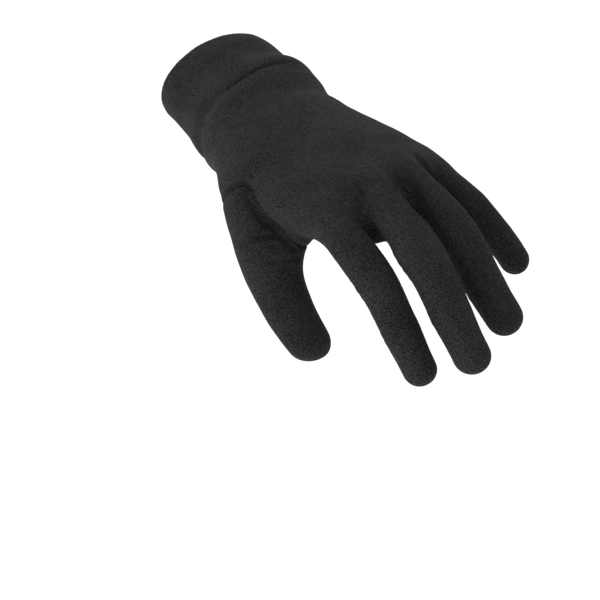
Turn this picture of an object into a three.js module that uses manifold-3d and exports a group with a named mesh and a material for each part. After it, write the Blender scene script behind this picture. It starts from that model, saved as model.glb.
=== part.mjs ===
// Glove liner for a left hand, standing open as it does when it is worn.
// Millimetres, +Z out of the back of the hand. The origin is the centre of the
// wrist opening, the fingers point along -Y and the thumb lies on the -X side.
import * as THREE from 'three';
import Module from 'manifold-3d';

const wasm = await Module();
wasm.setup();

// Driving dimensions
const palmLength = 172; // wrist opening to the ends of the palm between the fingers
const handBreadth = 91; // across the knuckles
const handDepth = 43; // through the knuckles, back to palm
const middleLength = 106.5; // middle finger from its knuckle to its tip
const fingerWidth = 25.5; // middle finger at its knuckle
const thumbLength = 98; // along the thumb from inside the palm to its tip
const thumbWidth = 36.3; // thumb where it leaves the palm
const hemLength = 42; // turned hem at the wrist
const cloth = 1.3; // knitted cloth, one layer
const seamGap = 0.3; // between two pieces where they are sewn together

// Finger strips, as shares of the finger's half depth and length
const stripHeight = 0.6;
const stripTipHeight = 0.34;
const stripStart = 0.12;
const stripEnd = 0.9;
const stripInside = 0.4; // how far the curtain that cuts it reaches into the finger

// Points around each section
const palmSides = 36;
const fingerSides = 16;
const thumbSides = 18;
const curtainSteps = 8;

// Sections of the palm and the wrist. along is a share of palmLength from the
// wrist opening. thumb and little are how far the section reaches to those two
// sides, as shares of handBreadth. z places the middle, and back and front are
// the half sizes above and below it, as shares of handDepth.
const palmSections = [
  { along: 0.0, thumb: 0.4, little: 0.4, z: 0.0, back: 0.583, front: 0.583 },
  { along: 0.05, thumb: 0.402, little: 0.405, z: -0.01, back: 0.592, front: 0.6 },
  { along: 0.14, thumb: 0.408, little: 0.41, z: -0.06, back: 0.63, front: 0.645 },
  { along: 0.215, thumb: 0.43, little: 0.445, z: -0.12, back: 0.73, front: 0.7 },
  { along: 0.244, thumb: 0.418, little: 0.422, z: -0.125, back: 0.7, front: 0.69 },
  { along: 0.285, thumb: 0.46, little: 0.412, z: -0.13, back: 0.7, front: 0.68 },
  { along: 0.345, thumb: 0.47, little: 0.39, z: -0.13, back: 0.645, front: 0.61 },
  { along: 0.455, thumb: 0.475, little: 0.382, z: -0.09, back: 0.58, front: 0.575 },
  { along: 0.6, thumb: 0.49, little: 0.452, z: -0.1, back: 0.554, front: 0.554 },
  { along: 0.74, thumb: 0.5, little: 0.484, z: -0.06, back: 0.5, front: 0.5 },
  { along: 0.85, thumb: 0.49, little: 0.465, z: -0.02, back: 0.44, front: 0.46 },
  { along: 0.915, thumb: 0.46, little: 0.41, z: 0.0, back: 0.36, front: 0.38 },
  { along: 0.96, thumb: 0.425, little: 0.325, z: 0.01, back: 0.27, front: 0.29 },
  { along: 1.0, thumb: 0.38, little: 0.24, z: 0.01, back: 0.15, front: 0.17 },
];

// Fingers, from the thumb side. The knuckle lies at x, a share of handBreadth,
// along, a share of palmLength, and z, a share of handDepth. turn is the heading in
// degrees towards the little finger, bends are the downward bends at the three
// joints, bones are shares of middleLength, and wide is the half width at the
// knuckle, past the middle and at the tip as shares of fingerWidth.
const fingerTable = [
  { name: 'index', x: -0.342, along: 0.868, z: 0.017, turn: -5.8, bends: [18.1, 15.7, 1.3],
    bones: [0.421, 0.25, 0.234], wide: [0.455, 0.379, 0.316] },
  { name: 'middle', x: -0.091, along: 0.889, z: 0.136, turn: -7.3, bends: [11.8, 21.9, -1.7],
    bones: [0.468, 0.284, 0.248], wide: [0.501, 0.425, 0.344] },
  { name: 'ring', x: 0.148, along: 0.853, z: 0.15, turn: -2.1, bends: [12.5, 24.5, -6.0],
    bones: [0.43, 0.266, 0.246], wide: [0.424, 0.407, 0.354] },
  { name: 'little', x: 0.363, along: 0.795, z: -0.023, turn: 7.7, bends: [12.4, 15.4, 9.0],
    bones: [0.341, 0.187, 0.194], wide: [0.377, 0.323, 0.296] },
];
const fingerLead = 0.23; // length of a finger's root inside the palm, as a share of middleLength
const fingerDepth = 0.88; // half depth as a share of the half width
const fingerWidthStations = [0, 0.55, 1];

// Thumb. Its root is placed like a knuckle. Each bone has a length as a share of
// thumbLength, a turn towards the outside and a dip, both in degrees. The first
// lies inside the palm.
const thumbRoot = { x: -0.24, along: 0.4, z: -0.06 };
const thumbBones = [
  { length: 0.235, turn: 36, dip: 16 },
  { length: 0.351, turn: 25.8, dip: 32.6 },
  { length: 0.326, turn: 3.2, dip: 40.5 },
  { length: 0.322, turn: -5.2, dip: 39.8 },
];
// Half sizes along the thumb as shares of thumbWidth: outside is the side away
// from the fingers, inside is the side with the web.
const thumbSections = [
  { along: 0.0, outside: 0.3, inside: 0.3, deep: 0.3 },
  { along: 0.19, outside: 0.47, inside: 0.62, deep: 0.44 },
  { along: 0.32, outside: 0.46, inside: 0.8, deep: 0.42 },
  { along: 0.43, outside: 0.425, inside: 0.74, deep: 0.39 },
  { along: 0.52, outside: 0.41, inside: 0.45, deep: 0.355 },
  { along: 0.62, outside: 0.4, inside: 0.345, deep: 0.33 },
  { along: 0.8, outside: 0.37, inside: 0.29, deep: 0.3 },
  { along: 1.0, outside: 0.325, inside: 0.26, deep: 0.265 },
];

const black = new THREE.Color(0.035, 0.036, 0.038);
const knit = () => new THREE.MeshStandardMaterial({ color: black, roughness: 0.95, metalness: 0 });

// Smooth line through table values
function smoothValues(rows, column, steps) {
  const curve = new THREE.CatmullRomCurve3(
    rows.map((row) => new THREE.Vector3(row.along, row[column], 0)), false, 'centripetal');
  return curve.getPoints(steps * (rows.length - 1));
}

function interpolate(points, at) {
  let k = 0;
  while (k < points.length - 2 && points[k + 1].x < at) k += 1;
  const [a, b] = [points[k], points[k + 1]];
  const share = THREE.MathUtils.clamp((at - a.x) / (b.x - a.x), 0, 1);
  return a.y + (b.y - a.y) * share;
}

// A closed solid through rings of equal point counts, with a point at each end
function loft(rings, startPoint, endPoint) {
  const sides = rings[0].length;
  const points = [...rings.flat(), startPoint, endPoint];
  const start = points.length - 2;
  const end = points.length - 1;
  const triangles = [];
  for (let j = 0; j < sides; j += 1) {
    const next = (j + 1) % sides;
    triangles.push(start, next, j);
    for (let i = 0; i < rings.length - 1; i += 1) {
      const low = i * sides;
      const high = low + sides;
      triangles.push(low + j, low + next, high + next, low + j, high + next, high + j);
    }
    const last = (rings.length - 1) * sides;
    triangles.push(last + j, last + next, end);
  }
  const positions = new Float32Array(points.flatMap((p) => [p.x, p.y, p.z]));
  return new wasm.Manifold(new wasm.Mesh({
    numProp: 3,
    vertProperties: positions,
    triVerts: new Uint32Array(triangles),
  }));
}

function middleOf(points) {
  return points.reduce((sum, p) => sum.add(p), new THREE.Vector3()).divideScalar(points.length);
}

// The same, closed by a flat face at each end
function cappedLoft(rings) {
  return loft(rings, middleOf(rings[0]), middleOf(rings[rings.length - 1]));
}

// One ring of points around a centre. right and left are the half sizes along
// +across and -across, up and down along +above and -above.
function ring(sides, centre, across, above, size) {
  const points = [];
  for (let j = 0; j < sides; j += 1) {
    const angle = (2 * Math.PI * j) / sides;
    const u = Math.cos(angle) * (Math.cos(angle) > 0 ? size.right : size.left);
    const v = Math.sin(angle) * (Math.sin(angle) > 0 ? size.up : size.down);
    points.push(centre.clone().addScaledVector(across, u).addScaledVector(above, v));
  }
  return points;
}

const acrossHand = new THREE.Vector3(1, 0, 0);
const upFromBack = new THREE.Vector3(0, 0, 1);

// Palm and wrist sections at given stations, made smaller all round by inset
const palmColumns = {};
for (const column of ['thumb', 'little', 'z', 'back', 'front']) {
  palmColumns[column] = smoothValues(palmSections, column, 6);
}

function palmRing(along, inset) {
  const at = (column) => interpolate(palmColumns[column], along);
  const half = 0.5 * (at('thumb') + at('little')) * handBreadth - inset;
  const centre = new THREE.Vector3(0.5 * (at('little') - at('thumb')) * handBreadth,
    -along * palmLength, at('z') * handDepth);
  return ring(palmSides, centre, acrossHand, upFromBack, {
    right: half,
    left: half,
    up: at('back') * handDepth - inset,
    down: at('front') * handDepth - inset,
  });
}

function palmSolid(from, inset) {
  const end = 1 - inset / palmLength;
  const stations = [from, ...handStations.filter((along) => along < end - 0.005), end];
  return cappedLoft(stations.map((along) => palmRing(along, inset)));
}

const seamAlong = hemLength / palmLength;
const handStart = (hemLength + seamGap) / palmLength;
const handStations = [0.262, 0.285, 0.31, 0.345, 0.4, 0.46, 0.53, 0.6, 0.67, 0.74, 0.8, 0.85,
  0.89, 0.925, 0.955, 0.98];
const innerStart = seamAlong - 0.02;

// The line of a finger, from a point inside the palm to the tip
function fingerLine(finger) {
  const turn = THREE.MathUtils.degToRad(finger.turn);
  const forward = new THREE.Vector3(Math.sin(turn), -Math.cos(turn), 0);
  const knuckle = new THREE.Vector3(
    finger.x * handBreadth, -finger.along * palmLength, finger.z * handDepth);
  const inPalm = new THREE.Vector3(
    0.8 * knuckle.x, knuckle.y + fingerLead * middleLength, knuckle.z - 0.1 * handDepth);
  const points = [inPalm, knuckle];
  let dip = 0;
  finger.bones.forEach((bone, k) => {
    dip += THREE.MathUtils.degToRad(finger.bends[k]);
    const step = forward.clone().multiplyScalar(Math.cos(dip)).setZ(-Math.sin(dip));
    points.push(points[points.length - 1].clone().addScaledVector(step, bone * middleLength));
  });
  return new THREE.CatmullRomCurve3(points, false, 'centripetal');
}

// Position and directions on a line at a length from its start
function frameAt(line, total, length) {
  const u = THREE.MathUtils.clamp(length / total, 0, 1);
  const along = line.getTangentAt(u);
  const across = new THREE.Vector3().crossVectors(upFromBack, along).normalize();
  const above = new THREE.Vector3().crossVectors(along, across);
  return { centre: line.getPointAt(u), across, above, along };
}

const fingers = fingerTable.map((finger) => {
  const line = fingerLine(finger);
  const total = line.getLength();
  const lead = line.getLength() - new THREE.CatmullRomCurve3(line.points.slice(1)).getLength();
  const widths = finger.wide.map((w, k) => new THREE.Vector3(fingerWidthStations[k], w, 0));
  const halfWidth = (length) => {
    const share = THREE.MathUtils.clamp((length - lead) / (total - lead), 0, 1);
    return interpolate(widths, share) * fingerWidth;
  };
  return { ...finger, line, total, lead, halfWidth };
});

const tipAngles = [0, 30, 57].map((angle) => THREE.MathUtils.degToRad(angle));

function fingerSolid(finger, inset) {
  const { line, total, lead, halfWidth } = finger;
  const end = total - inset;
  const tipLength = halfWidth(total) - inset;
  const bodyEnd = end - tipLength;
  const bodySteps = 9;
  const stations = [{ length: 0, scale: 0.5 }, { length: 0.5 * lead, scale: 0.85 }];
  for (let k = 0; k < bodySteps; k += 1) {
    stations.push({ length: lead + ((bodyEnd - lead) * k) / bodySteps, scale: 1 });
  }
  for (const angle of tipAngles) {
    stations.push({ length: bodyEnd + tipLength * Math.sin(angle), scale: Math.cos(angle) });
  }
  const rings = stations.map(({ length, scale }) => {
    const { centre, across, above } = frameAt(line, total, length);
    const half = (halfWidth(length) - inset) * scale;
    const deep = (fingerDepth * halfWidth(length) - inset) * scale;
    return ring(fingerSides, centre, across, above, {
      right: half, left: half, up: deep, down: deep,
    });
  });
  return loft(rings, frameAt(line, total, 0).centre, frameAt(line, total, end).centre);
}

// A curtain between two neighbouring fingers, from inside one hollow to inside the
// other. Where it meets their walls and the web lies the strip sewn between them.
function curtain(near, far, margin) {
  const rings = [];
  for (let k = 0; k <= curtainSteps; k += 1) {
    const share = THREE.MathUtils.lerp(stripStart, stripEnd, k / curtainSteps);
    const edges = [near, far].map((finger, side) => {
      const { line, total, lead, halfWidth } = finger;
      const extra = k === curtainSteps ? margin : 0;
      const length = lead + share * (total - lead) + extra;
      const { centre, across, above } = frameAt(line, total, length);
      const half = halfWidth(length);
      const height = THREE.MathUtils.lerp(stripHeight, stripTipHeight, share ** 2);
      const high = height * fingerDepth * half + margin;
      centre.addScaledVector(across, (side === 0 ? stripInside : -stripInside) * half);
      return [centre.clone().addScaledVector(above, -high), centre.addScaledVector(above, high)];
    });
    rings.push([edges[1][0], edges[1][1], edges[0][1], edges[0][0]]);
  }
  return cappedLoft(rings);
}

// The thumb's line and sections
function thumbCurve() {
  const root = new THREE.Vector3(
    thumbRoot.x * handBreadth, -thumbRoot.along * palmLength, thumbRoot.z * handDepth);
  const points = [root];
  for (const bone of thumbBones) {
    const turn = THREE.MathUtils.degToRad(bone.turn);
    const dip = THREE.MathUtils.degToRad(bone.dip);
    const step = new THREE.Vector3(
      -Math.sin(turn) * Math.cos(dip), -Math.cos(turn) * Math.cos(dip), -Math.sin(dip));
    points.push(points[points.length - 1].clone().addScaledVector(step, bone.length * thumbLength));
  }
  return new THREE.CatmullRomCurve3(points, false, 'centripetal');
}

const thumbLine = thumbCurve();
const thumbTotal = thumbLine.getLength();
const thumbColumns = {};
for (const column of ['outside', 'inside', 'deep']) {
  thumbColumns[column] = smoothValues(thumbSections, column, 6);
}

function thumbSolid(inset) {
  const size = (column, length) => interpolate(thumbColumns[column], length / thumbTotal) * thumbWidth;
  const end = thumbTotal - inset;
  const tipLength = size('deep', thumbTotal) * 1.05 - inset;
  const bodyEnd = end - tipLength;
  const bodySteps = 12;
  const stations = [];
  for (let k = 0; k < bodySteps; k += 1) stations.push({ length: (bodyEnd * k) / bodySteps, scale: 1 });
  for (const angle of tipAngles) {
    stations.push({ length: bodyEnd + tipLength * Math.sin(angle), scale: Math.cos(angle) });
  }
  const rings = stations.map(({ length, scale }) => {
    const { centre, across, above } = frameAt(thumbLine, thumbTotal, length);
    const deep = (size('deep', length) - inset) * scale;
    return ring(thumbSides, centre, across, above, {
      right: (size('inside', length) - inset) * scale,
      left: (size('outside', length) - inset) * scale,
      up: deep,
      down: deep,
    });
  });
  return loft(rings, frameAt(thumbLine, thumbTotal, 0).centre,
    frameAt(thumbLine, thumbTotal, end).centre);
}

const union = (solids) => solids.reduce((all, solid) => all.add(solid));

// Hand without its thumb: skin surfaces joined, then the hollow taken out
const handOuter = union([palmSolid(handStart, 0),
  ...fingers.map((finger) => fingerSolid(finger, 0))]);
const handHollow = union([palmSolid(innerStart, cloth),
  ...fingers.map((finger) => fingerSolid(finger, cloth))]);
const handGrown = union([palmSolid(innerStart, -seamGap),
  ...fingers.map((finger) => fingerSolid(finger, -seamGap))]);
const thumbHollow = thumbSolid(cloth);
const handShell = handOuter.subtract(handHollow).subtract(thumbHollow);

const webs = [0, 1, 2].map((k) => {
  const [near, far] = [fingers[k], fingers[k + 1]];
  return {
    name: `fourchette_${near.name}_${far.name}`,
    tight: curtain(near, far, 0),
    loose: curtain(near, far, seamGap),
  };
});

const trank = webs.reduce((rest, web) => rest.subtract(web.loose), handShell);
const thumb = thumbSolid(0).subtract(thumbHollow).subtract(handGrown);

// Turned hem: two layers of cloth, open at both ends
function cuffBand() {
  const stations = [0, 0.018, 0.05, 0.095, 0.14, 0.18, 0.215, seamAlong];
  const layers = 2 * cloth;
  const outer = stations.map((along, k) => palmRing(along, k === 0 ? 0.35 * cloth : 0));
  const inner = stations.map((along, k) => palmRing(along, k === 0 ? layers - 0.35 * cloth : layers));
  const beyond = 1;
  const extended = [
    inner[0].map((p) => p.clone().setY(p.y + beyond)),
    ...inner,
    inner[inner.length - 1].map((p) => p.clone().setY(p.y - beyond)),
  ];
  return cappedLoft(outer).subtract(cappedLoft(extended));
}

// Meshes
function mesh(name, solid) {
  const { vertProperties, triVerts } = solid.getMesh();
  const geometry = new THREE.BufferGeometry();
  geometry.setAttribute('position', new THREE.BufferAttribute(vertProperties, 3));
  geometry.setIndex(new THREE.BufferAttribute(triVerts, 1));
  geometry.computeVertexNormals();
  const made = new THREE.Mesh(geometry, knit());
  made.name = name;
  return made;
}

const glove = new THREE.Group();
glove.name = 'glove_liner';
glove.add(mesh('trank', trank));
glove.add(mesh('thumb', thumb));
glove.add(mesh('cuff_band', cuffBand()));
for (const web of webs) glove.add(mesh(web.name, handShell.intersect(web.tight)));

export default glove;
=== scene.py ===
"""Glove liner for a left hand, filled out as when worn: a thin black stretch knit with a
sewn-in thumb, strips between the fingers and a turned hem. The skin is a smooth union of
the palm, the fingers and the thumb, cut into its sewn pieces along the seams."""
import math
import bpy
import numpy as np
import openvdb
from mathutils import Matrix, Vector, noise


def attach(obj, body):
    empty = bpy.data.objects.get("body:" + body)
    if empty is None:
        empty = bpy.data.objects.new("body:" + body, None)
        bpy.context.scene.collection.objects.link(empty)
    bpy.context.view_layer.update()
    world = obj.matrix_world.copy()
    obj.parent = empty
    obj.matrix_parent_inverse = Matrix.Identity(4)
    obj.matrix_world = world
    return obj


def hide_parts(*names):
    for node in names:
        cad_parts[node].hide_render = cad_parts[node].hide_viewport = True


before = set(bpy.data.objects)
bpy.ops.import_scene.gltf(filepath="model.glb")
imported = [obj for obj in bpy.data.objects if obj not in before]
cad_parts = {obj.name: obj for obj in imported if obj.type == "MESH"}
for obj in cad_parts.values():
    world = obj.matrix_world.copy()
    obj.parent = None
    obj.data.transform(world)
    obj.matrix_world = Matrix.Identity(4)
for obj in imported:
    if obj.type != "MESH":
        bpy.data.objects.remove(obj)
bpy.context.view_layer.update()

# Sizes of the glove in millimetres, as in the solid model
MM = 0.001
PALM_LENGTH = 172.0
HAND_BREADTH = 91.0
HAND_DEPTH = 43.0
MIDDLE_LENGTH = 106.5
FINGER_WIDTH = 25.5
THUMB_LENGTH = 98.0
THUMB_WIDTH = 36.3
HEM_LENGTH = 42.0

# Thickness of the cloth, and of the two layers of the turned hem
CLOTH = 0.9
HEM_CLOTH = 1.7

# Sections of the palm and wrist: along as a share of the palm's length, the sides of thumb and
# little finger as shares of the hand's breadth, z, back and front as shares of its depth
PALM = np.array([
    [0.0, 0.4, 0.4, 0.0, 0.583, 0.583],
    [0.05, 0.402, 0.405, -0.01, 0.592, 0.6],
    [0.14, 0.408, 0.41, -0.06, 0.63, 0.645],
    [0.215, 0.43, 0.44, -0.12, 0.715, 0.7],
    [0.244, 0.418, 0.43, -0.125, 0.706, 0.69],
    [0.285, 0.46, 0.419, -0.13, 0.7, 0.68],
    [0.345, 0.47, 0.39, -0.13, 0.645, 0.61],
    [0.455, 0.475, 0.382, -0.09, 0.58, 0.575],
    [0.6, 0.512, 0.45, -0.1, 0.554, 0.554],
    [0.74, 0.528, 0.47, -0.06, 0.5, 0.5],
    [0.85, 0.49, 0.445, -0.02, 0.44, 0.46],
    [0.915, 0.46, 0.41, 0.0, 0.36, 0.38],
    [0.96, 0.425, 0.325, 0.01, 0.27, 0.29],
    [1.0, 0.38, 0.24, 0.01, 0.15, 0.17],
])

# Fingers: knuckle x, along and z as shares of the breadth, the palm's length and the depth,
# turn and three bends in degrees, three bones as shares of the middle finger's length, and
# half widths at the knuckle, past the middle and at the tip as shares of the finger's width
FINGERS = {
    "index": (-0.342, 0.868, 0.017, -5.8, (18.1, 15.7, 1.3), (0.421, 0.25, 0.234),
              (0.455, 0.379, 0.316)),
    "middle": (-0.091, 0.889, 0.136, -7.3, (11.8, 21.9, -1.7), (0.468, 0.284, 0.248),
               (0.501, 0.425, 0.344)),
    "ring": (0.148, 0.853, 0.15, -2.1, (12.5, 24.5, -6.0), (0.43, 0.266, 0.246),
             (0.424, 0.407, 0.354)),
    "little": (0.363, 0.795, -0.023, 7.7, (12.4, 15.4, 9.0), (0.341, 0.187, 0.194),
               (0.377, 0.323, 0.296)),
}
FINGER_WIDTH_AT = (0, 0.55, 1)
FINGER_DEPTH = 0.88

# A finger's root inside the palm: its length, its place and how thin it starts
FINGER_LEAD = 0.23
ROOT_SPREAD = 0.8
ROOT_DROP = 0.1
ROOT_WIDTH = 0.55
ROOT_FULL_AT = 0.9

# Thumb: place of its root, then each bone's length, turn and dip, and its half sizes
THUMB_ROOT = (-0.24, 0.4, -0.06)
THUMB_BONES = [(0.235, 36.0, 16.0), (0.351, 25.8, 32.6), (0.326, 3.2, 40.5), (0.335, -5.2, 40.4)]
THUMB_CAP = 11.0
# along, outside, inside, deep
THUMB = np.array([
    [0.0, 0.3, 0.3, 0.3],
    [0.19, 0.47, 0.62, 0.44],
    [0.32, 0.46, 0.8, 0.42],
    [0.43, 0.425, 0.74, 0.39],
    [0.52, 0.43, 0.45, 0.355],
    [0.62, 0.45, 0.345, 0.335],
    [0.8, 0.44, 0.25, 0.31],
    [1.0, 0.36, 0.2, 0.27],
])

# Back edge of the webs between the fingers at one level: x, then y; and the way they face
WEB_EDGE = ([-46.0, -33.0, -23.0, 2.0, 24.0, 40.0],
            [-154.0, -157.0, -159.5, -161.0, -152.0, -146.0])
WEB_LEVEL = 10.0
WEB_SLOPE = (0.832, 0.555)
WEB_ROUND = 5.0

# The fold of cloth that fills the corner between thumb and hand
WEB_BAR = ((-31.0, -124.0, -17.0), (-47.0, -127.0, -36.0))
WEB_BAR_RADIUS = 7.0

# How softly the forms run into each other
FINGER_UNION = 0.9
PALM_UNION = 5.0
THUMB_UNION = 2.5
THUMB_ROOT_UNION = 15.0
THUMB_ROOT_REACH = (3, -10)
WEB_BAR_UNION = 7.0

# Plane of the seam across the root of the thumb
THUMB_SEAM_POINT = np.array([-51.9, -92.6, -3.1])
THUMB_SEAM_AXIS = np.array([-0.5, -0.8, -0.33])
THUMB_SEAM_AXIS /= np.linalg.norm(THUMB_SEAM_AXIS)
THUMB_SEAM_ROUND = 5.0

# Strips between the fingers: half height at the root and at the tip as shares of the finger's
# depth, more height near the web, the share of the finger where they end, how far inside the
# finger they reach, and how one finger's part runs over into the next one's
WEBS = (("index", "middle"), ("middle", "ring"), ("ring", "little"))
STRIP_HEIGHT = 0.6
STRIP_TIP_HEIGHT = 0.34
STRIP_WEB_GAIN = 0.75
STRIP_WEB_REACH = (0.4, 0.12)
STRIP_END = 0.9
STRIP_END_ROUND = 3.0
STRIP_INSIDE = 0.4
STRIP_INSIDE_ROUND = 2.0
CHANGE_OF_FINGER = (0.35, 0.65)
HEIGHT_COUNTS = 0.3

# Grid for the skin, the least slope that a distance is divided by, and how the skin is
# softened over the knuckles, evened out and snapped to its seams
VOXEL = 1.14
COARSE = 4
GRID_LOW = np.array([-72.0, -258.0, -80.0])
GRID_HIGH = np.array([58.0, 7.0, 34.0])
GRID_SHAPE = np.ceil((GRID_HIGH - GRID_LOW) / VOXEL).astype(int)
BAND = 4.0
FAR = 30.0
FLATTEST = 1e-3
BLUR_REACH = 2.5
KNUCKLE_BLUR = 2.1
KNUCKLES_START = (-118, -134)
KNUCKLES_END = (-168, -152)
RELAX_ROUNDS = 2
RELAX_PASSES = 2
SNAP_SHARE = 0.3

# Stations along a bent tube, how far a point lies from the nearest one in steps, and
# how near to the last one counts as the end
STATION_STEP = 1.5
FEWEST_STATIONS = 8
PALM_STATIONS = 240
STATION_SHIFT = 0.6
AT_END = 0.001
CURVE_POINTS = 200
POINTS_PER_ROW = 12
BOX_MARGIN = 9.0
CHUNK = 50000

# Knit directions: length of a fingertip where the columns run straight over the end, and the
# distances between which a finger takes over from the palm
STRAIGHT_TIP = 7.0
FINGER_TAKES_OVER = (6.0, -2.0)
PALM_LETS_GO = (-4.0, 8.0)


def catmull_rom(points, count):
    """Centripetal Catmull-Rom curve through the points."""
    p = np.asarray(points, float)
    p = np.vstack([2 * p[0] - p[1], p, 2 * p[-1] - p[-2]])
    spans = len(p) - 3
    out = []
    for k in range(count):
        t = spans * k / (count - 1)
        i = min(int(t), spans - 1)
        w = t - i
        p0, p1, p2, p3 = p[i:i + 4]
        d0, d1, d2 = (max(np.dot(b - a, b - a) ** 0.25, 1e-4)
                      for a, b in ((p0, p1), (p1, p2), (p2, p3)))
        t1 = ((p1 - p0) / d0 - (p2 - p0) / (d0 + d1) + (p2 - p1) / d1) * d1
        t2 = ((p2 - p1) / d1 - (p3 - p1) / (d1 + d2) + (p3 - p2) / d2) * d1
        out.append(p1 + t1 * w + (-3 * p1 + 3 * p2 - 2 * t1 - t2) * w * w
                   + (2 * p1 - 2 * p2 + t1 + t2) * w ** 3)
    return np.array(out)


def table_curve(table, at):
    """Every column of a table, smoothly interpolated at the given values of its first."""
    columns = [at]
    for column in range(1, table.shape[1]):
        rows = np.stack([table[:, 0], table[:, column], np.zeros(len(table))], 1)
        curve = catmull_rom(rows, POINTS_PER_ROW * len(table))
        columns.append(np.interp(at, curve[:, 0], curve[:, 1]))
    return np.stack(columns, 1)


def unit(vectors):
    """The vectors at length one."""
    return vectors / np.maximum(np.linalg.norm(vectors, axis=-1, keepdims=True), 1e-9)


def smoothstep(low, high, value):
    """From 0 at low to 1 at high, with soft ends."""
    t = np.clip((value - low) / (high - low), 0.0, 1.0)
    return t * t * (3 - 2 * t)


class Tube:
    """A bent tube with an elliptical section. rows holds, for evenly spaced stations, the
    centre, the directions across, above and along, and the half sizes right, left, up, down."""

    def __init__(self, line, sizes_at, cap):
        steps = np.linalg.norm(np.diff(line, axis=0), axis=1)
        lengths = np.r_[0, np.cumsum(steps)]
        self.total = lengths[-1]
        self.cap = cap
        end = self.total - cap
        at = np.linspace(0, end, max(int(end / STATION_STEP), FEWEST_STATIONS))
        self.step = at[1] - at[0]
        centre = np.stack([np.interp(at, lengths, line[:, k]) for k in range(3)], 1)
        tangent = unit(np.gradient(line, axis=0))
        along = unit(np.stack([np.interp(at, lengths, tangent[:, k]) for k in range(3)], 1))
        across = unit(np.cross([0.0, 0.0, 1.0], along))
        above = np.cross(along, across)
        sizes = sizes_at(at / self.total)
        self.rows = np.hstack([centre, across, above, along, sizes])
        self.low = centre.min(0) - sizes.max() - BOX_MARGIN
        self.high = centre.max(0) + sizes.max() + BOX_MARGIN

    def local(self, points):
        """Station, u, v and w from the centre line, and the half width and half depth."""
        centre = self.rows[:, :3]
        nearest = np.empty(len(points), int)
        for start in range(0, len(points), CHUNK):
            part = points[start:start + CHUNK]
            gap = (centre ** 2).sum(1) - 2 * part @ centre.T
            nearest[start:start + CHUNK] = gap.argmin(1)
        row = self.rows[nearest]
        shift = ((points - row[:, :3]) * row[:, 9:12]).sum(1) / self.step
        shift = np.clip(shift, -STATION_SHIFT, STATION_SHIFT)
        place = np.clip(nearest + shift, 0, len(self.rows) - 1)
        low = np.minimum(place.astype(int), len(self.rows) - 2)
        mix = (place - low)[:, None]
        row = self.rows[low] * (1 - mix) + self.rows[low + 1] * mix
        offset = points - row[:, :3]
        u = (offset * row[:, 3:6]).sum(1)
        v = (offset * row[:, 6:9]).sum(1)
        w = (offset * row[:, 9:12]).sum(1)
        half = np.where(u > 0, row[:, 12], row[:, 13])
        deep = np.where(v > 0, row[:, 14], row[:, 15])
        past_end = (place >= len(self.rows) - 1 - AT_END) & (w > 0)
        w = np.where(past_end, w, np.where(place <= AT_END, np.minimum(w, 0), 0))
        return place * self.step, u, v, w, half, deep

    def distance(self, points):
        """Distance outside the tube, negative inside; FAR away from its box."""
        out = np.full(len(points), FAR)
        near = np.all((points > self.low) & (points < self.high), axis=1)
        _, u, v, w, half, deep = self.local(points[near])
        reach = np.sqrt((u / half) ** 2 + (v / deep) ** 2 + (w / self.cap) ** 2)
        slope = np.sqrt((u / half ** 2) ** 2 + (v / deep ** 2) ** 2 + (w / self.cap ** 2) ** 2)
        out[near] = np.maximum((reach - 1) * reach / np.maximum(slope, FLATTEST), -deep)
        return out


class Palm:
    """The palm and wrist: elliptical sections straight along -Y, ended by sloping webs."""

    def __init__(self):
        along = np.linspace(0, 1, PALM_STATIONS)
        _, minus_x, plus_x, z, back, front = table_curve(PALM, along).T
        self.depth = along * PALM_LENGTH
        self.columns = [0.5 * (plus_x - minus_x) * HAND_BREADTH, z * HAND_DEPTH,
                        0.5 * (minus_x + plus_x) * HAND_BREADTH, back * HAND_DEPTH,
                        front * HAND_DEPTH]

    def local(self, points):
        """u and v from the centre line, and the half width and half depth."""
        depth = np.clip(-points[:, 1], 0, PALM_LENGTH)
        x, z, half, back, front = (np.interp(depth, self.depth, c) for c in self.columns)
        v = points[:, 2] - z
        return points[:, 0] - x, v, half, np.where(v > 0, back, front)

    def distance(self, points):
        """Distance outside the palm, negative inside."""
        u, v, half, deep = self.local(points)
        reach = np.sqrt((u / half) ** 2 + (v / deep) ** 2)
        slope = np.sqrt((u / half ** 2) ** 2 + (v / deep ** 2) ** 2)
        side = np.maximum((reach - 1) * reach / np.maximum(slope, FLATTEST), -deep)
        web = np.interp(points[:, 0], *WEB_EDGE)
        rise = points[:, 2] - WEB_LEVEL
        end = (web - points[:, 1]) * WEB_SLOPE[0] + rise * WEB_SLOPE[1]
        return smooth_max(side, end, WEB_ROUND)


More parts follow.
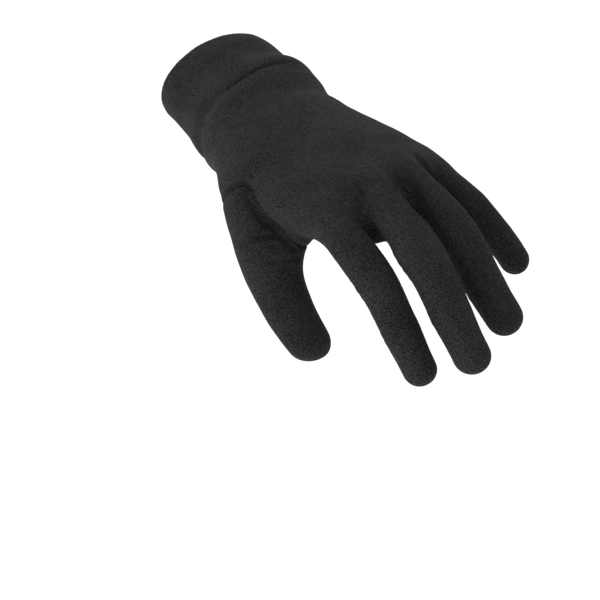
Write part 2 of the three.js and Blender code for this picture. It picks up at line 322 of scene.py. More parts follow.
def finger_tube(row):
    """A finger from its root inside the palm to its tip; lead is the length before the knuckle."""
    x, along, z, turn, bends, bones, wide = row
    forward = np.array([math.sin(math.radians(turn)), -math.cos(math.radians(turn)), 0.0])
    knuckle = np.array([x * HAND_BREADTH, -along * PALM_LENGTH, z * HAND_DEPTH])
    to_root = [0, FINGER_LEAD * MIDDLE_LENGTH, -ROOT_DROP * HAND_DEPTH]
    root = knuckle * [ROOT_SPREAD, 1, 1] + to_root
    points = [root, knuckle]
    dip = 0.0
    for bend, bone in zip(bends, bones):
        dip += math.radians(bend)
        step = forward * math.cos(dip) + [0, 0, -math.sin(dip)]
        points.append(points[-1] + step * bone * MIDDLE_LENGTH)
    line = catmull_rom(points, CURVE_POINTS)
    lengths = np.r_[0, np.cumsum(np.linalg.norm(np.diff(line, axis=0), axis=1))]
    lead = lengths[np.linalg.norm(line - knuckle, axis=1).argmin()]
    total = lengths[-1]
    tip = wide[2] * FINGER_WIDTH

    def sizes(share):
        """Half sizes right, left, up and down at shares of the whole length."""
        past = np.clip((share * total - lead) / (total - lead), 0, 1)
        half = np.interp(past, FINGER_WIDTH_AT, wide) * FINGER_WIDTH
        grown = smoothstep(0, ROOT_FULL_AT * lead, share * total)
        half = half * (ROOT_WIDTH + (1 - ROOT_WIDTH) * grown)
        return np.stack([half, half, FINGER_DEPTH * half, FINGER_DEPTH * half], 1)

    tube = Tube(line, sizes, tip)
    tube.lead = lead
    return tube


def thumb_tube():
    """The thumb from its root inside the palm to its tip."""
    x, along, z = THUMB_ROOT
    points = [np.array([x * HAND_BREADTH, -along * PALM_LENGTH, z * HAND_DEPTH])]
    for length, turn, dip in THUMB_BONES:
        turn, dip = math.radians(turn), math.radians(dip)
        step = np.array([-math.sin(turn) * math.cos(dip), -math.cos(turn) * math.cos(dip),
                         -math.sin(dip)])
        points.append(points[-1] + step * length * THUMB_LENGTH)

    def sizes(share):
        """Half sizes right, left, up and down at shares of the whole length."""
        outside, inside, deep = table_curve(THUMB, share)[:, 1:].T * THUMB_WIDTH
        return np.stack([inside, outside, deep, deep], 1)

    return Tube(catmull_rom(points, CURVE_POINTS), sizes, THUMB_CAP)


def smooth_min(a, b, radius):
    """The lesser of two distances, rounded where they are near each other."""
    h = np.maximum(radius - np.abs(a - b), 0) / radius
    return np.minimum(a, b) - h * h * radius / 4


def smooth_max(a, b, radius):
    """The greater of two distances, rounded where they are near each other."""
    return -smooth_min(-a, -b, radius)


palm = Palm()
fingers = {name: finger_tube(row) for name, row in FINGERS.items()}
thumb = thumb_tube()


def hand_distance(points):
    """Palm and fingers together."""
    joined = np.full(len(points), FAR)
    for tube in fingers.values():
        joined = smooth_min(joined, tube.distance(points), FINGER_UNION)
    return smooth_min(palm.distance(points), joined, PALM_UNION)


def segment_distance(points, start, end):
    """Distance to the straight line between two points."""
    start, end = np.asarray(start, float), np.asarray(end, float)
    t = np.clip((points - start) @ (end - start) / ((end - start) @ (end - start)), 0, 1)
    return np.linalg.norm(points - start - t[:, None] * (end - start), axis=1)


def past_thumb_seam(points):
    """Distance beyond the plane of the seam across the root of the thumb."""
    return (points - THUMB_SEAM_POINT) @ THUMB_SEAM_AXIS


def skin_distance(points):
    """The whole glove: thumb and hand run together at the root, a crease lies past its seam."""
    hand, side = hand_distance(points), thumb.distance(points)
    at_root = smoothstep(*THUMB_ROOT_REACH, past_thumb_seam(points))
    radius = THUMB_UNION + (THUMB_ROOT_UNION - THUMB_UNION) * at_root
    web = segment_distance(points, *WEB_BAR) - WEB_BAR_RADIUS
    return smooth_min(smooth_min(hand, side, radius), web, WEB_BAR_UNION)


def grid_points(index):
    """Places of grid indices in millimetres."""
    return GRID_LOW + VOXEL * index


def blurred(field, sigma):
    """The field smoothed along each axis; sigma is in grid steps."""
    reach = int(BLUR_REACH * sigma) + 1
    taps = np.exp(-0.5 * (np.arange(-reach, reach + 1) / sigma) ** 2)
    taps /= taps.sum()
    for axis in range(3):
        total = np.zeros_like(field)
        padding = [(reach, reach) if k == axis else (0, 0) for k in range(3)]
        padded = np.pad(field, padding, mode="edge")
        for k, tap in enumerate(taps):
            place = [slice(None)] * 3
            place[axis] = slice(k, k + field.shape[axis])
            total += tap * padded[tuple(place)]
        field = total
    return field


def skin_field():
    """Distances on a grid, exact near the skin and softened over the knuckles."""
    size = GRID_SHAPE // COARSE + 2
    index = np.stack(np.meshgrid(*[np.arange(n) for n in size], indexing="ij"), -1)
    rough = skin_distance(grid_points(COARSE * index.reshape(-1, 3))).reshape(size)
    nearest = [np.rint(np.arange(n) / COARSE).astype(int) for n in GRID_SHAPE]
    field = rough[np.ix_(*nearest)].astype(np.float32)
    # Rough values are off by at most nine tenths of a coarse cell
    close = np.argwhere(np.abs(field) < BAND + 0.9 * COARSE * VOXEL)
    field[tuple(close.T)] = skin_distance(grid_points(close))
    field = np.clip(field, -BAND, BAND)
    soft = blurred(field, KNUCKLE_BLUR / VOXEL)
    grid_y = GRID_LOW[1] + VOXEL * np.arange(GRID_SHAPE[1])
    weight = smoothstep(*KNUCKLES_START, grid_y) * smoothstep(*KNUCKLES_END, grid_y)
    weight = weight[None, :, None]
    return (field * (1 - weight) + soft * weight).astype(np.float32)


def skin_mesh(field):
    """The skin as points and triangles, facing outwards."""
    grid = openvdb.FloatGrid()
    grid.background = BAND
    grid.copyFromArray(field)
    made, triangles, quads = grid.convertToPolygons(isovalue=0.0, adaptivity=0.0)
    quads = np.asarray(quads, int)
    corners = np.vstack([quads[:, [0, 1, 2]], quads[:, [0, 2, 3]],
                         np.asarray(triangles, int).reshape(-1, 3)])
    return grid_points(np.asarray(made, float)), corners


def sample(field, where):
    """The field at any points, from the eight grid values around each."""
    place = np.clip((where - GRID_LOW) / VOXEL, 0, GRID_SHAPE - 1.001)
    cell = place.astype(int)
    x, y, z = (place - cell).T
    i, j, k = cell.T
    total = 0
    for a, wx in ((0, 1 - x), (1, x)):
        for b, wy in ((0, 1 - y), (1, y)):
            for c, wz in ((0, 1 - z), (1, z)):
                total = total + wx * wy * wz * field[i + a, j + b, k + c]
    return total


def slope(field, where):
    """Direction in which the field grows."""
    step = 0.8
    parts = []
    for axis in range(3):
        shift = np.zeros(3)
        shift[axis] = step
        parts.append(sample(field, where + shift) - sample(field, where - shift))
    return unit(np.stack(parts, 1))


def face_sides(corners):
    """The sides of the faces as pairs of point numbers, in the direction of the face."""
    return np.vstack([corners[:, [0, 1]], corners[:, [1, 2]], corners[:, [2, 0]]])


def edge_pairs(corners):
    """Each edge of the faces once, as a pair of point numbers."""
    return np.unique(np.sort(face_sides(corners), axis=1), axis=0)


def relaxed(where, corners, rounds):
    """Even out the spacing of the points."""
    edges = edge_pairs(corners)
    count = np.maximum(np.bincount(edges.ravel(), minlength=len(where)), 1)[:, None]
    for _ in range(rounds):
        total = np.zeros_like(where)
        for axis in range(3):
            total[:, axis] = (np.bincount(edges[:, 0], where[edges[:, 1], axis], len(where))
                              + np.bincount(edges[:, 1], where[edges[:, 0], axis], len(where)))
        where = 0.5 * where + 0.5 * total / count
    return where


def corner_normals(where, corners):
    """Smooth normals at the points."""
    spread = where[corners]
    flat = np.cross(spread[:, 1] - spread[:, 0], spread[:, 2] - spread[:, 0])
    total = np.zeros_like(where)
    for corner in range(3):
        for axis in range(3):
            total[:, axis] += np.bincount(corners[:, corner], flat[:, axis], len(where))
    return unit(total)


def snap_to_line(data, faces, column):
    """Move points that are close to the zero line of a column onto it."""
    value = data[:, column]
    a, b = edge_pairs(faces).T
    crossing = value[a] * value[b] < 0
    a, b = a[crossing], b[crossing]
    t = value[a] / (value[a] - value[b])
    for near, other, share in ((a, b, t), (b, a, 1 - t)):
        snap = share < SNAP_SHARE
        order = np.argsort(-share[snap])
        n, o, s = near[snap][order], other[snap][order], share[snap][order]
        moved = data[n] + (data[o] - data[n]) * s[:, None]
        moved[:, column] = 0.0
        data[n] = moved


def cut(data, faces, labels, column):
    """Cut the faces along the zero line of one column of the point data, and say on which
    side each face lies."""
    snap_to_line(data, faces, column)
    value = data[:, column]
    sign = np.sign(value).astype(int)
    face_sign = sign[faces]
    low, high = face_sign.min(1), face_sign.max(1)
    mixed = (low < 0) & (high > 0)
    kept = faces[~mixed]
    kept_labels = labels[~mixed]
    kept_side = np.where(high[~mixed] > 0, 1, -1)
    new_points = []
    made = {}
    out, out_labels, out_side = [], [], []

    def between(p, q):
        """The point where the side from p to q crosses the line, made once for both faces."""
        key = (min(p, q), max(p, q))
        if key not in made:
            share = value[p] / (value[p] - value[q])
            row = data[p] + (data[q] - data[p]) * share
            row[column] = 0.0
            made[key] = len(data) + len(new_points)
            new_points.append(row)
        return made[key]

    for face, label, signs in zip(faces[mixed], labels[mixed], face_sign[mixed]):
        corners = list(face)
        signs = list(signs)
        if 0 in signs:
            k = signs.index(0)
            p, q, r = corners[k], corners[(k + 1) % 3], corners[(k + 2) % 3]
            m = between(q, r)
            out += [(p, q, m), (p, m, r)]
            out_labels += [label, label]
            out_side += [signs[(k + 1) % 3], signs[(k + 2) % 3]]
            continue
        k = next(i for i in range(3) if signs[i] != signs[(i + 1) % 3] and signs[i] != signs[i - 1])
        p, q, r = corners[k], corners[(k + 1) % 3], corners[(k + 2) % 3]
        m, n = between(p, q), between(p, r)
        out += [(p, m, n), (m, q, r), (m, r, n)]
        out_labels += [label] * 3
        out_side += [signs[k], signs[(k + 1) % 3], signs[(k + 1) % 3]]
    if new_points:
        data = np.vstack([data, new_points])
        kept = np.vstack([kept, out])
        kept_labels = np.r_[kept_labels, out_labels]
        kept_side = np.r_[kept_side, out_side]
    return data, kept, kept_labels, kept_side


field = skin_field()
points, faces = skin_mesh(field)
for _ in range(RELAX_ROUNDS):
    points = relaxed(points, faces, RELAX_PASSES)
    normals = slope(field, points)
    points = points - normals * sample(field, points)[:, None]
normals = corner_normals(points, faces)
if (normals * slope(field, points)).sum(1).mean() < 0:
    faces = faces[:, ::-1]
    normals = -normals

# Seam fields: negative inside the piece, in millimetres
local = {name: tube.local(points) for name, tube in fingers.items()}


def strip_height(tube, station, half):
    """Half height of a strip on one finger, taller where it runs up to the web."""
    share = np.clip((station - tube.lead) / (tube.total - tube.lead), 0, 1)
    height = STRIP_HEIGHT + (STRIP_TIP_HEIGHT - STRIP_HEIGHT) * share ** 2
    height = height * (1 + STRIP_WEB_GAIN * smoothstep(*STRIP_WEB_REACH, share))
    return height * FINGER_DEPTH * half, share


def web_field(near, far):
    """The strip between two fingers, from the web to near their tips, and the share along."""
    s0, u0, v0, w0, half0, _ = local[near]
    s1, u1, v1, w1, half1, _ = local[far]
    high0, share0 = strip_height(fingers[near], s0, half0)
    high1, share1 = strip_height(fingers[far], s1, half1)
    gap0 = np.abs(u0) + HEIGHT_COUNTS * np.abs(v0) + np.abs(w0)
    gap1 = np.abs(u1) + HEIGHT_COUNTS * np.abs(v1) + np.abs(w1)
    mix = smoothstep(*CHANGE_OF_FINGER, gap0 / (gap0 + gap1 + 1e-6))
    high = high0 * (1 - mix) + high1 * mix
    rise = (np.abs(v0) / high0 * (1 - mix) + np.abs(v1) / high1 * mix - 1) * high
    end0 = (share0 - STRIP_END) * (fingers[near].total - fingers[near].lead)
    end1 = (share1 - STRIP_END) * (fingers[far].total - fingers[far].lead)
    end = end0 * (1 - mix) + end1 * mix
    inside = np.maximum(STRIP_INSIDE * half0 - u0, STRIP_INSIDE * half1 + u1)
    share = share0 * (1 - mix) + share1 * mix
    edge = smooth_max(rise, end, STRIP_END_ROUND)
    return smooth_max(edge, inside, STRIP_INSIDE_ROUND), share


hem_field = points[:, 1] + HEM_LENGTH
thumb_field = smooth_max(thumb.distance(points) - hand_distance(points),
                         -past_thumb_seam(points), THUMB_SEAM_ROUND)
web_columns = [column for near, far in WEBS for column in web_field(near, far)]


def round_and_along(u, v, half, deep, station):
    """Knit directions on a round form: millimetres round it and along it."""
    return 0.5 * (half + deep) * np.arctan2(u / half, np.abs(v) / deep), station


def straight_over_tip(tube, u, w, across, station):
    """At a fingertip the columns run straight over the end instead of closing in a ring."""
    tip = smoothstep(tube.total - STRAIGHT_TIP, tube.total, station)
    return across * (1 - tip) + u * tip, station + w


def tube_knit(tube):
    """Knit directions on a finger or on the thumb."""
    station, u, v, w, half, deep = tube.local(points)
    across, along = round_and_along(u, v, half, deep, station)
    return straight_over_tip(tube, u, w, across, along)


def hand_knit():
    """Knit directions on the palm, running over into those of the fingers."""
    across, along = round_and_along(*palm.local(points), -points[:, 1])
    leaving_palm = smoothstep(*PALM_LETS_GO, palm.distance(points))
    for name, tube in fingers.items():
        x, share_along = FINGERS[name][:2]
        finger_across, finger_along = tube_knit(tube)
        finger_across = finger_across + x * HAND_BREADTH
        finger_along = finger_along - tube.lead + share_along * PALM_LENGTH
        closer = smoothstep(*FINGER_TAKES_OVER, tube.distance(points)) * leaving_palm
        across = across * (1 - closer) + finger_across * closer
        along = along * (1 - closer) + finger_along * closer
    return across, along


# Columns of the data kept at each point; for each web a field and the share along follow
POINT, NORMAL, KNIT, THUMB_KNIT = slice(0, 3), slice(3, 6), slice(6, 8), slice(8, 10)
MOUTH_LINE, HEM_LINE, THUMB_LINE, FIRST_WEB = 10, 11, 12, 13
data = np.column_stack([points, normals, *hand_knit(), *tube_knit(thumb),
                        points[:, 1], hem_field, thumb_field, *web_columns])

# The skin is cut into its pieces first, so that the seam grooves follow the cuts exactly
HAND, HEM, THUMB_PIECE, STRIP = 0, 1, 2, 3
labels = np.zeros(len(faces), int)
data, faces, labels, side = cut(data, faces, labels, MOUTH_LINE)
faces, labels = faces[side < 0], labels[side < 0]
data, faces, labels, side = cut(data, faces, labels, HEM_LINE)
labels[side > 0] = HEM
data, faces, labels, side = cut(data, faces, labels, THUMB_LINE)
labels[(side < 0) & (labels == HAND)] = THUMB_PIECE
for web in range(len(WEBS)):
    data, faces, labels, side = cut(data, faces, labels, FIRST_WEB + 2 * web)
    labels[(side < 0) & (labels == HAND)] = STRIP + web

points, normals = data[:, POINT], unit(data[:, NORMAL])
hem_field, thumb_field = data[:, HEM_LINE], data[:, THUMB_LINE]
local = {name: tube.local(points) for name, tube in fingers.items()}
around = np.degrees(np.arctan2(points[:, 2], points[:, 0]))


# Folds, seams and the soft unevenness of the cloth, as heights along the normals
def ridge(distance, width):
    """A round-topped ridge of height 1."""
    return np.exp(-(distance / width) ** 2)


def turn_from(angle):
    """Degrees round the wrist from an angle, from -180 to 180."""
    return (around - angle + 180) % 360 - 180


def polyline_distance(where, line):
    """Distance to a line of points, and the share along it."""
    line = np.asarray(line, float)
    best = np.full(len(where), 1e9)
    share = np.zeros(len(where))
    for k in range(len(line) - 1):
        a, b = line[k], line[k + 1]
        t = np.clip(((where - a) @ (b - a)) / ((b - a) @ (b - a)), 0, 1)
        d = np.linalg.norm(where - (a + t[:, None] * (b - a)), axis=1)
        closer = d < best
        best[closer] = d[closer]
        share[closer] = (k + t[closer]) / (len(line) - 1)
    return best, share


def cloud(scale, offset):
    """Soft noise at the points, scaled per millimetre."""
    shift = Vector(offset)
    return np.array([noise.noise(Vector(p) * scale + shift) for p in points])


def bump_at(angle, spread, depth, length):
    """A soft mound round one side of the wrist at a depth from the mouth."""
    return ridge(turn_from(angle), spread) * ridge(-points[:, 1] - depth, length)


# Bumps and hollows that show in the outline of the wrist: side, spread, depth, length, height
WRIST_BUMPS = [
    (58, 34, 10.0, 9.0, 1.5), (58, 26, 24.0, 4.0, -0.3), (52, 28, 37.0, 5.0, 1.5),
    (50, 20, 46.0, 2.8, -0.7), (56, 34, 53.5, 4.5, -0.6), (56, 36, 63.0, 7.0, -1.8),
    (-112, 40, 18.0, 9.0, 1.2), (-112, 28, 33.0, 7.0, 0.9), (-122, 15, 44.5, 2.6, -0.9),
    (-118, 20, 52.5, 4.2, 1.0), (-120, 36, 63.0, 6.0, -1.1),
    (118, 34, 43.0, 14.0, -1.4),
]
# Creases of the thumb web: points, width, depth
WEB_CREASES = [
    ([(-61, -115, -22), (-57, -117.7, -18.5), (-53.8, -119.3, -17.2), (-48.4, -121.8, -17.5),
      (-42, -123.7, -19.7)], 1.25, 2.2),
    ([(-55.7, -128.5, -26.3), (-48.3, -130.7, -26.4), (-41.5, -133, -27.5)], 1.15, 1.6),
    ([(-52.5, -123.5, -20.5), (-47, -126.5, -21.5)], 1.15, 0.8),
]

# The hem's crease: angle of its middle, where it ends to either side, depths and width
CREASE_ANGLE = 95
CREASE_ENDS = (50, 34)
CREASE_SHALLOW = 0.15
CREASE_DEEP = 2.0
CREASE_WIDTH = 0.5
MOUTH_ROUND, MOUTH_ROUND_WIDTH = 0.6, 1.3

# The groove of the thumb's seam, the hollow under the hand's edge, the notch in the outline
THUMB_GROOVE, THUMB_GROOVE_WIDTH, THUMB_GROOVE_START = 1.9, 0.8, -70
UNDER_EDGE, UNDER_EDGE_SHIFT, UNDER_EDGE_WIDTH = 2.3, 2.4, 2.6
NOTCH, NOTCH_WIDTH, NOTCH_REACH = 0.9, 1.5, (6, 1)

# Where the hollow under the hand's edge fades in: along the hand, upwards and from the web
UNDER_EDGE_ALONG = (-96, -108)
UNDER_EDGE_UP = (-34, -26)
UNDER_EDGE_FROM_WEB = (-38, -46)

# The strips: how deep they lie, across and along; their seams and the pucker in them
STRIP_SUNK = 2.2
SUNK_ACROSS = (0.3, -2.6)
SUNK_ALONG = (0.55, 0.15)
STRIP_GROOVE, STRIP_GROOVE_WIDTH = 0.3, 0.6
STRIP_PUCKER, PUCKER_RATE = 0.12, 1.9

# The low swelling beside each web crease: share of the crease's depth, distance, width
SWELLING, SWELLING_AWAY, SWELLING_WIDTH = 0.35, 3.0, 1.6
# Shares along a web crease that its depth is worked out from: it thins towards both ends
CREASE_SHARES = (0.04, 0.96)

# The joints of the fingers: share along, spread, strength; then the fine folds across them
JOINTS = [(0.44, 0.07, 1.0), (0.72, 0.05, 0.6)]
JOINT_HEIGHT = 0.35
FOLD_PLACES = [(0.42, 0.1), (0.7, 0.06)]
FOLD_HEIGHT = 0.12
FOLD_RATE = 1.25
FOLD_WAVE, FOLD_WAVE_ACROSS, FOLD_WAVE_ALONG = 0.8, 0.4, 0.3
FOLDS_ON_BACK = 0.35
ON_FINGER = (2.0, -1.0)
PALM_SIDE = (0.0, -5.0)

# Unevenness of the cloth: height, scale per millimetre, offset
UNEVENNESS = [(0.5, 0.04, (0, 0, 0)), (0.16, 0.12, (7, 3, 1))]


def wrist_height():
    """The bumps of the wrist, the crease of the hem and the rounded turn at the mouth."""
    height = np.zeros(len(points))
    for angle, spread, depth, length, rise in WRIST_BUMPS:
        height += rise * bump_at(angle, spread, depth, length)
    deep = smoothstep(*CREASE_ENDS, np.abs(turn_from(CREASE_ANGLE)))
    crease_depth = CREASE_SHALLOW + (CREASE_DEEP - CREASE_SHALLOW) * deep
    height -= crease_depth * ridge(hem_field, CREASE_WIDTH)
    return height - MOUTH_ROUND * ridge(points[:, 1], MOUTH_ROUND_WIDTH)


def thumb_seam_height():
    """The seam round the thumb, with a small notch where it crosses the outline."""
    x, y, z = points.T
    height = -THUMB_GROOVE * ridge(thumb_field, THUMB_GROOVE_WIDTH) * (y < THUMB_GROOVE_START)
    under_edge = smoothstep(*UNDER_EDGE_ALONG, y) * smoothstep(*UNDER_EDGE_UP, z)
    under_edge *= smoothstep(*UNDER_EDGE_FROM_WEB, x)
    height -= UNDER_EDGE * ridge(thumb_field + UNDER_EDGE_SHIFT, UNDER_EDGE_WIDTH) * under_edge
    at_seam = smoothstep(*NOTCH_REACH, np.abs(thumb_field))
    return height - NOTCH * ridge(past_thumb_seam(points), NOTCH_WIDTH) * at_seam


def strip_sinking():
    """The strips lie sunk between the roots of the fingers, with puckered seams."""
    height = np.zeros(len(points))
    pucker = 0.5 + 0.5 * np.sin(points[:, 1] * PUCKER_RATE)
    for web in range(len(WEBS)):
        strip, share = data[:, FIRST_WEB + 2 * web], data[:, FIRST_WEB + 2 * web + 1]
        height -= STRIP_SUNK * smoothstep(*SUNK_ACROSS, strip) * smoothstep(*SUNK_ALONG, share)
        groove = STRIP_GROOVE + STRIP_PUCKER * pucker
        height -= ridge(strip, STRIP_GROOVE_WIDTH) * groove
    return height


def web_crease_height():
    """Creases of the thumb web, each with a low swelling beside it."""
    height = np.zeros(len(points))
    for line, width, depth in WEB_CREASES:
        away, share = polyline_distance(points, line)
        fade = np.sin(np.pi * np.clip(share, *CREASE_SHARES)) ** 0.5
        height -= depth * fade * ridge(away, width)
        height += SWELLING * depth * fade * ridge(away - SWELLING_AWAY, SWELLING_WIDTH)
    return height


def finger_height():
    """Finger joints that stand out a little, with fine folds, stronger on the palm side."""
    height = np.zeros(len(points))
    for name, tube in fingers.items():
        station, u, v, _, _, _ = local[name]
        past = (station - tube.lead) / (tube.total - tube.lead)
        on_finger = smoothstep(*ON_FINGER, tube.distance(points))
        for place, spread, strength in JOINTS:
            height += JOINT_HEIGHT * strength * ridge(past - place, spread) * on_finger
        wave = np.sin(u * FOLD_WAVE_ACROSS + station * FOLD_WAVE_ALONG)
        folds = np.sin(station * FOLD_RATE + FOLD_WAVE * wave)
        side = FOLDS_ON_BACK + smoothstep(*PALM_SIDE, v)
        for place, spread in FOLD_PLACES:
            height += FOLD_HEIGHT * folds * ridge(past - place, spread) * on_finger * side
    return height


height = wrist_height() + thumb_seam_height() + strip_sinking() + web_crease_height()
height += finger_height()
for size, scale, offset in UNEVENNESS:
    height += size * cloud(scale, offset)

data[:, POINT] = points + normals * height[:, None]
data[:, NORMAL] = corner_normals(data[:, POINT], faces)


def math_node(tree, operation, a, b=None):
    """The output of a maths node; a and b are numbers or outputs of other nodes."""
    node = tree.nodes.new("ShaderNodeMath")
    node.operation = operation
    for socket, value in ((0, a), (1, b)):
        if value is None:
            continue
        if isinstance(value, (int, float)):
            node.inputs[socket].default_value = value
        else:
            tree.links.new(value, node.inputs[socket])
    return node.outputs[0]


def noise_node(tree, place, scale, detail):
    """The output of a noise node, its scale per metre."""
    node = tree.nodes.new("ShaderNodeTexNoise")
    node.inputs["Scale"].default_value = scale
    node.inputs["Detail"].default_value = detail
    tree.links.new(place, node.inputs["Vector"])
    return node.outputs["Fac"]


# Spacing of the knit's columns and rows, place and pitch of the hem's stitches, in millimetres;
# a stitch shows where a sine along the row is above STITCH_FROM
WALE = 0.72
COURSE = 0.6
LOOP_LEAN = 1.8
COLUMN_SHARE = 0.6
STITCH_ROW = 39.4
STITCH_PITCH = 2.6
STITCH_HALF_WIDTH = 0.3
STITCH_FROM = -0.3
STITCH_DEPTH = 1.6

# The two yarns, and the tones between which the cloth goes from one to the other
DARK_YARN = (0.001, 0.0011, 0.0013, 1)
LIGHT_YARN = (0.028, 0.0277, 0.0278, 1)
DARK_TONE, LIGHT_TONE = 0.47, 0.62

# The nap's relief, the drift and the speckle of the tone: scale per metre, detail, weight
NAP = (2400.0, 3.0, 1.4)
DRIFT = (34.0, 4.0, 0.14)
FINE_SPECKLE = (2500.0, 2.0, 0.55)
COARSE_SPECKLE = (1400.0, 1.0, 0.45)
SPECKLE_WEIGHT = 0.86
# Painted shade: this share of the loops' relief goes into the tone, darkening the gaps between the
# loops
LOOP_GAP_SHADE = 0.12

# How strongly the relief shows, and the faint sheen of the light fibres
RELIEF_STRENGTH = 0.8
RELIEF_DEPTH = 0.25
SHEEN_TONES = (0.46, 0.6)
SHEEN_WEIGHT = 0.065
SHEEN_COLOUR = (0.86, 0.88, 0.9, 1)


def weighted_noise(tree, place, scale, detail, weight):
    """A noise times its weight."""
    return math_node(tree, "MULTIPLY", noise_node(tree, place, scale, detail), weight)


def stitch_row(tree, parts):
    """Height of the stitches that hold the turned hem: short dashes in one row round it."""
    from_row = math_node(tree, "SUBTRACT", parts.outputs["Y"], STITCH_ROW * MM)
    away = math_node(tree, "ABSOLUTE", from_row)
    in_row = math_node(tree, "LESS_THAN", away, STITCH_HALF_WIDTH * MM)
    turn = math_node(tree, "MULTIPLY", parts.outputs["X"], 2 * math.pi / (STITCH_PITCH * MM))
    dash = math_node(tree, "GREATER_THAN", math_node(tree, "SINE", turn), STITCH_FROM)
    return math_node(tree, "MULTIPLY", in_row, dash)


def knit_loops(tree, parts):
    """Height of the loops: rounded columns, with rows that lean where a column rises."""
    column = math_node(tree, "MULTIPLY", parts.outputs["X"], math.pi / (WALE * MM))
    wale = math_node(tree, "ABSOLUTE", math_node(tree, "SINE", column))
    row = math_node(tree, "MULTIPLY", parts.outputs["Y"], 2 * math.pi / (COURSE * MM))
    lean = math_node(tree, "MULTIPLY", wale, LOOP_LEAN)
    loop = math_node(tree, "SINE", math_node(tree, "ADD", row, lean))
    return math_node(tree, "ADD", math_node(tree, "MULTIPLY", wale, COLUMN_SHARE),
                     math_node(tree, "MULTIPLY", loop, 1 - COLUMN_SHARE))


def knit_tone(tree, place, loops):
    """Tone of the cloth: a speckle of two yarns, a slow drift, and painted shade from the loops'
    relief, darker in the gaps between the loops and lighter on their tops.
    """
    drift = weighted_noise(tree, place, *DRIFT)
    speckle = math_node(tree, "ADD", weighted_noise(tree, place, *FINE_SPECKLE),
                        weighted_noise(tree, place, *COARSE_SPECKLE))
    tone = math_node(tree, "ADD", drift, math_node(tree, "MULTIPLY", speckle, SPECKLE_WEIGHT))
    return math_node(tree, "ADD", tone, math_node(tree, "MULTIPLY", loops, LOOP_GAP_SHADE))


def knit_material(name):
    """Fine matte jersey: columns of small loops, a short nap, and a faint drift of colour."""
    material = bpy.data.materials.new(name)
    material.use_nodes = True
    tree = material.node_tree
    shader = tree.nodes["Principled BSDF"]
    uv = tree.nodes.new("ShaderNodeUVMap")
    uv.uv_map = "knit"
    parts = tree.nodes.new("ShaderNodeSeparateXYZ")
    tree.links.new(uv.outputs["UV"], parts.inputs["Vector"])
    place = tree.nodes.new("ShaderNodeTexCoord").outputs["Object"]

    loops = knit_loops(tree, parts)
    relief = math_node(tree, "ADD", loops, weighted_noise(tree, place, *NAP))
    if name == "hem_knit":
        stitches = math_node(tree, "MULTIPLY", stitch_row(tree, parts), STITCH_DEPTH)
        relief = math_node(tree, "SUBTRACT", relief, stitches)
    bump = tree.nodes.new("ShaderNodeBump")
    bump.inputs["Strength"].default_value = RELIEF_STRENGTH
    bump.inputs["Distance"].default_value = RELIEF_DEPTH * MM
    tree.links.new(relief, bump.inputs["Height"])
    tree.links.new(bump.outputs["Normal"], shader.inputs["Normal"])

    tone = knit_tone(tree, place, loops)
    ramp = tree.nodes.new("ShaderNodeValToRGB")
    dark, light = ramp.color_ramp.elements
    dark.position = DARK_TONE
    dark.color = DARK_YARN
    light.position = LIGHT_TONE
    light.color = LIGHT_YARN
    tree.links.new(tone, ramp.inputs["Fac"])
    tree.links.new(ramp.outputs["Color"], shader.inputs["Base Color"])
    shader.inputs["Roughness"].default_value = 0.85
    shader.inputs["Specular IOR Level"].default_value = 0.1
    sheen = tree.nodes.new("ShaderNodeMapRange")
    sheen.inputs["From Min"].default_value = SHEEN_TONES[0]
    sheen.inputs["From Max"].default_value = SHEEN_TONES[1]
    sheen.inputs["To Min"].default_value = 0.0
    sheen.inputs["To Max"].default_value = SHEEN_WEIGHT
    tree.links.new(tone, sheen.inputs["Value"])
    tree.links.new(sheen.outputs["Result"], shader.inputs["Sheen Weight"])
    shader.inputs["Sheen Roughness"].default_value = 0.3
    shader.inputs["Sheen Tint"].default_value = SHEEN_COLOUR
    return material


MATERIALS = {slot: knit_material(slot)
             for slot in ("hand_knit", "hem_knit", "thumb_knit", "strip_knit")}


def rim_edges(corners):
    """Edges that belong to one face only, in the direction of that face."""
    sides = face_sides(corners)
    _, first, repeats = np.unique(np.sort(sides, axis=1), axis=0, return_index=True,
                                  return_counts=True)
    return sides[first[repeats == 1]]


def build_piece(name, node, slot, label, thickness):
    """One sewn piece as a shell: its outer face, its inner face and the cut edges."""
    used, flat = np.unique(faces[labels == label], return_inverse=True)
    chosen = flat.reshape(-1, 3)
    count = len(used)
    outer, normal = data[used, POINT], unit(data[used, NORMAL])
    where = np.vstack([outer, outer - normal * thickness])
    rim = rim_edges(chosen)
    rim_faces = np.column_stack([rim[:, 1], rim[:, 0], rim[:, 0] + count, rim[:, 1] + count])
    mesh = bpy.data.meshes.new(name)
    mesh.from_pydata((where * MM).tolist(), [],
                     chosen.tolist() + (chosen[:, ::-1] + count).tolist() + rim_faces.tolist())
    mesh.polygons.foreach_set("use_smooth", [True] * len(mesh.polygons))
    index = np.empty(len(mesh.loops), np.int32)
    mesh.loops.foreach_get("vertex_index", index)

    knit = data[used, THUMB_KNIT if label == THUMB_PIECE else KNIT]
    knit = np.vstack([knit, knit])[index] * MM
    mesh.uv_layers.new(name="knit").data.foreach_set("uv", knit.ravel().astype(np.float32))

    # Smooth shading within the cloth, and a clean break at the cut edges
    rim_normal = unit(np.cross(where[rim_faces[:, 1]] - where[rim_faces[:, 0]],
                               where[rim_faces[:, 3]] - where[rim_faces[:, 0]]))
    shading = np.vstack([normal, -normal])[index]
    shading[-4 * len(rim):] = np.repeat(rim_normal, 4, axis=0)
    mesh.normals_split_custom_set(shading.tolist())

    mesh.materials.append(MATERIALS[slot])
    piece = bpy.data.objects.new(name, mesh)
    bpy.context.scene.collection.objects.link(piece)
    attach(piece, "root")
    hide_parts(node)
    return piece


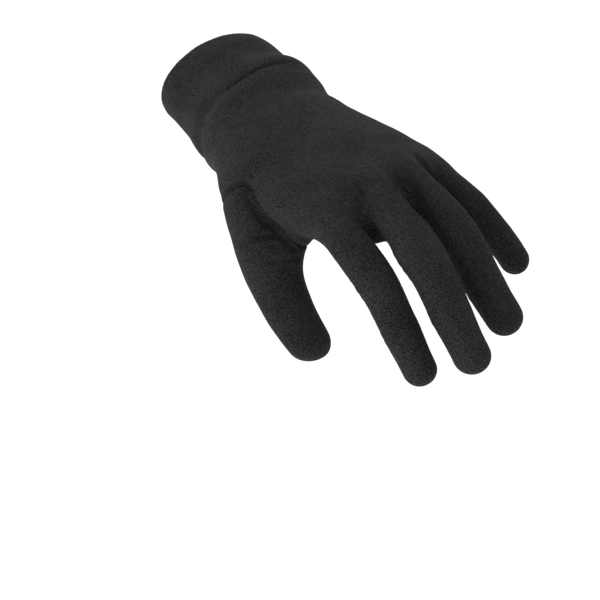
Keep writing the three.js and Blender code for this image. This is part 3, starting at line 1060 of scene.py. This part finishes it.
# Pieces: name, solid replaced, material slot, label, thickness, flat cut in metres, its area
PIECES = [
    ("glove_hand", "trank", "hand_knit", HAND, CLOTH, (0.21, 0.22), 0.038),
    ("glove_hem", "cuff_band", "hem_knit", HEM, HEM_CLOTH, (0.2, 0.045), 0.0088),
    ("glove_thumb", "thumb", "thumb_knit", THUMB_PIECE, CLOTH, (0.1, 0.1), 0.0065),
    ("strip_index_middle", "fourchette_index_middle", "strip_knit", STRIP, CLOTH,
     (0.14, 0.018), 0.002),
    ("strip_middle_ring", "fourchette_middle_ring", "strip_knit", STRIP + 1, CLOTH,
     (0.15, 0.018), 0.0021),
    ("strip_ring_little", "fourchette_ring_little", "strip_knit", STRIP + 2, CLOTH,
     (0.13, 0.016), 0.0016),
]
for name, node, slot, label, thickness, flat, area in PIECES:
    build_piece(name, node, slot, label, thickness)

# Pale floor, well below the glove that is held up, and a white surround
FLOOR_LEVEL = -0.45
FLOOR_SIZE = 14
PALE = (0.9, 0.9, 0.9, 1)
WHITE = (1, 1, 1, 1)
SURROUND_STRENGTH = 0.95
floor_material = bpy.data.materials.new("pale_floor")
floor_material.use_nodes = True
floor_shader = floor_material.node_tree.nodes["Principled BSDF"]
floor_shader.inputs["Base Color"].default_value = PALE
floor_shader.inputs["Roughness"].default_value = 0.9
bpy.ops.mesh.primitive_plane_add(size=FLOOR_SIZE, location=(0, 0, FLOOR_LEVEL))
floor = bpy.context.object
floor.name = "floor"
floor.data.materials.append(floor_material)

scene = bpy.context.scene
scene.view_settings.view_transform = "Standard"
world = scene.world or bpy.data.worlds.new("studio")
scene.world = world
world.use_nodes = True
background = world.node_tree.nodes["Background"]
background.inputs["Color"].default_value = WHITE
background.inputs["Strength"].default_value = SURROUND_STRENGTH

# The middle of the glove in metres: the lights face it and the camera is placed from it
MIDDLE = np.array([0.0, -0.13, 0.0])


def area_light(name, place, size, power):
    """A rectangular soft light that faces the middle of the glove."""
    light = bpy.data.lights.new(name, "AREA")
    light.shape = "RECTANGLE"
    light.size, light.size_y = size
    light.energy = power
    lamp = bpy.data.objects.new(name, light)
    lamp.location = place
    towards = Vector(MIDDLE) - Vector(place)
    lamp.rotation_euler = towards.to_track_quat("-Z", "Y").to_euler()
    scene.collection.objects.link(lamp)


# Lights: name, place, size in metres, power in watts
LIGHTS = [
    ("top_softbox", (0.1, 0.3, 1.2), (1.0, 0.8), 1.0),
    ("left_strip", (-1.2, 0.1, 0.0), (0.4, 1.0), 8),
    ("front_softbox", (-0.9, -0.7, 0.0), (0.7, 0.5), 5.5),
    ("back_strip", (0.6, 0.9, 0.5), (1.0, 0.4), 3),
]
for light_row in LIGHTS:
    area_light(*light_row)

# Camera: direction, distance, lens and where the glove's middle falls in the frame
AZIMUTH = math.radians(-37.01)
ELEVATION = math.radians(32.89)
DISTANCE = 0.85439
FOCAL_PIXELS = 1715.67
FRAME_PIXELS = 600
MIDDLE_PIXEL = (360.49, 181.1)
SENSOR_WIDTH = 36.0

back = np.array([math.sin(AZIMUTH) * math.cos(ELEVATION),
                 -math.cos(AZIMUTH) * math.cos(ELEVATION), math.sin(ELEVATION)])
right = np.array([math.cos(AZIMUTH), math.sin(AZIMUTH), 0.0])
up = np.cross(back, right)
ray = unit(np.array([MIDDLE_PIXEL[0] - 0.5 * FRAME_PIXELS, 0.5 * FRAME_PIXELS - MIDDLE_PIXEL[1],
                     -FOCAL_PIXELS]))
turn = Vector((0, 0, -1)).rotation_difference(Vector(ray)).to_matrix()
axes = np.array(turn) @ np.stack([right, up, back])
matrix = Matrix(axes.T.tolist()).to_4x4()
matrix.translation = Vector(MIDDLE + back * DISTANCE)
camera_data = bpy.data.cameras.new("camera")
camera_data.sensor_width = SENSOR_WIDTH
camera_data.lens = SENSOR_WIDTH * FOCAL_PIXELS / FRAME_PIXELS
camera = bpy.data.objects.new("camera", camera_data)
camera.matrix_world = matrix
scene.collection.objects.link(camera)
scene.camera = camera
